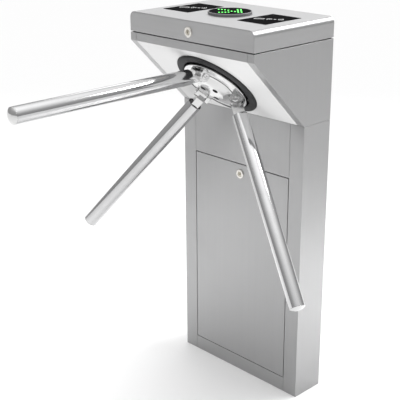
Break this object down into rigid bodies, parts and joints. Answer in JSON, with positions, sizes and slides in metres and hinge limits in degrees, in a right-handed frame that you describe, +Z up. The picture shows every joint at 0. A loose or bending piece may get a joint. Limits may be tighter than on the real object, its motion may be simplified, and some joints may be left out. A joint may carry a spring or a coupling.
{
  "type": "tripod turnstile",
  "caption": "Narrow floor-standing turnstile cabinet with a sloping hub face, rotating drop arms, reader windows and a round display in its lid.",
  "frame": {"origin": "on the floor, at the middle of the cabinet's footprint, on the base plate's underside", "axes": "+Z up, the arms and the service door face -Y, +X to the right seen along +Y"},
  "size_m": [0.788, 0.7819, 1.0061],
  "materials": {
    "satin_steel": "satin brushed stainless sheet",
    "bright_steel": "bright fine-brushed stainless sheet",
    "polished_steel": "mirror polished stainless steel",
    "machined_steel": "machined steel",
    "hard_steel": "blackened hardened steel",
    "bearing_steel": "ground bearing steel",
    "zinc_plate": "zinc-plated steel",
    "cast_alloy": "as-cast alloy",
    "rim_grey": "grey anodised rim",
    "nickel": "nickel-plated",
    "lock_plug": "plated brass",
    "black_rubber": "matte black rubber",
    "black_plastic": "fine-grained black moulding",
    "black_glass": "black-backed glossy pane",
    "dark_enamel": "dark enamelled steel",
    "box_grey": "light grey moulded box",
    "board_green": "sensor board and fork"
  },
  "bodies": {
    "cabinet": {"base_plate": "zinc_plate", "cable_grommet": "black_rubber", "body_shell": "satin_steel", "hood_shell": "satin_steel", "slope_panel": "bright_steel", "upper_front_panel": "satin_steel", "plinth_panel": "satin_steel", "hinge_leaf_lower": "zinc_plate", "controller_box": "box_grey", "power_supply": "box_grey", "bezel_ring": "black_rubber", "mechanism_plate": "zinc_plate", "bracket_right": "zinc_plate", "bracket_left": "zinc_plate", "bearing_housing": "cast_alloy", "front_bearing": "bearing_steel", "rear_bearing": "bearing_steel", "centring_lever": "machined_steel", "centring_roller": "bearing_steel", "angle_sensor": "board_green", "damper_body": "dark_enamel", "solenoid_right": "dark_enamel", "solenoid_left": "dark_enamel"},
    "lid": {"lid_shell": "satin_steel", "hinge_leaf_upper": "zinc_plate", "card_window_left": "black_glass", "card_window_right": "black_glass", "card_reader_left": "black_plastic", "card_reader_right": "black_plastic", "display_housing": "rim_grey", "display_lens": "black_glass", "lid_lock_barrel": "nickel"},
    "lid_lock": {"lid_lock_plug": "lock_plug"},
    "door": {"door_panel": "satin_steel", "door_lock_barrel": "nickel"},
    "door_lock": {"door_lock_plug": "lock_plug"},
    "tripod": {"hub_disc": "polished_steel", "hub_boss": "polished_steel", "main_shaft": "machined_steel", "centring_cam": "hard_steel", "locking_wheel": "hard_steel", "main_gear": "machined_steel", "sensor_disc": "black_plastic", "arm_pin_1": "polished_steel", "arm_pin_2": "polished_steel", "arm_pin_3": "polished_steel", "arm_2_root": "polished_steel", "arm_2_tube": "polished_steel", "arm_2_cap": "polished_steel", "arm_3_root": "polished_steel", "arm_3_tube": "polished_steel", "arm_3_cap": "polished_steel"},
    "top_arm": {"arm_1_root": "polished_steel", "arm_1_tube": "polished_steel", "arm_1_cap": "polished_steel"},
    "damper": {"damper_pinion": "machined_steel"},
    "pawl_a": {"pawl_right": "hard_steel"},
    "pawl_b": {"pawl_left": "hard_steel"},
    "plunger_a": {"plunger_right": "machined_steel"},
    "plunger_b": {"plunger_left": "machined_steel"}
  },
  "joints": [
    {"name": "tripod_spin", "type": "hinge", "parent": "cabinet", "child": "tripod", "pos_m": [0, -0.1345, 0.8335], "axis": [0, -0.7071, -0.7071], "continuous": true},
    {"name": "arm_drop", "type": "hinge", "parent": "tripod", "child": "top_arm", "pos_m": [0, -0.1946, 0.86532], "axis": [1, 0, 0], "range_deg": [0, 90]},
    {"name": "damper_spin", "type": "hinge", "parent": "cabinet", "child": "damper", "pos_m": [0, -0.08147, 0.78047], "axis": [0, -0.7071, -0.7071], "continuous": true},
    {"name": "pawl_a_turn", "type": "hinge", "parent": "cabinet", "child": "pawl_a", "pos_m": [0.067, -0.17339, 0.87239], "axis": [0, 0.7071, 0.7071], "range_deg": [0, 7.5], "stiffness_Nm_per_rad": 0.6, "springref_deg": -20.05},
    {"name": "pawl_b_turn", "type": "hinge", "parent": "cabinet", "child": "pawl_b", "pos_m": [-0.067, -0.17339, 0.87239], "axis": [0, -0.7071, -0.7071], "range_deg": [0, 7.5], "stiffness_Nm_per_rad": 0.6, "springref_deg": -20.05},
    {"name": "plunger_a_slide", "type": "slide", "parent": "cabinet", "child": "plunger_a", "axis": [-1, 0, 0], "range_m": [0, 0.0099]},
    {"name": "plunger_b_slide", "type": "slide", "parent": "cabinet", "child": "plunger_b", "axis": [1, 0, 0], "range_m": [0, 0.0099]},
    {"name": "lid_hinge", "type": "hinge", "parent": "cabinet", "child": "lid", "pos_m": [0, 0.0518, 0.94925], "axis": [-1, 0, 0], "range_deg": [0, 85]},
    {"name": "lid_lock_turn", "type": "hinge", "parent": "lid", "child": "lid_lock", "pos_m": [0, -0.229, 0.9725], "axis": [0, 1, 0], "range_deg": [-90, 0]},
    {"name": "door_tilt", "type": "hinge", "parent": "cabinet", "child": "door", "pos_m": [0, -0.0488, 0.0427], "axis": [1, 0, 0], "range_deg": [0, 8]},
    {"name": "door_lock_turn", "type": "hinge", "parent": "door", "child": "door_lock", "pos_m": [0, -0.049, 0.58], "axis": [0, 1, 0], "range_deg": [-90, 0]}
  ],
  "couplings": [
    {"joint": "damper_spin", "follows": "tripod_spin", "ratio": -4},
    {"joint": "plunger_a_slide", "follows": "pawl_a_turn", "m_per_rad": 0.075},
    {"joint": "plunger_b_slide", "follows": "pawl_b_turn", "m_per_rad": 0.075}
  ]
}
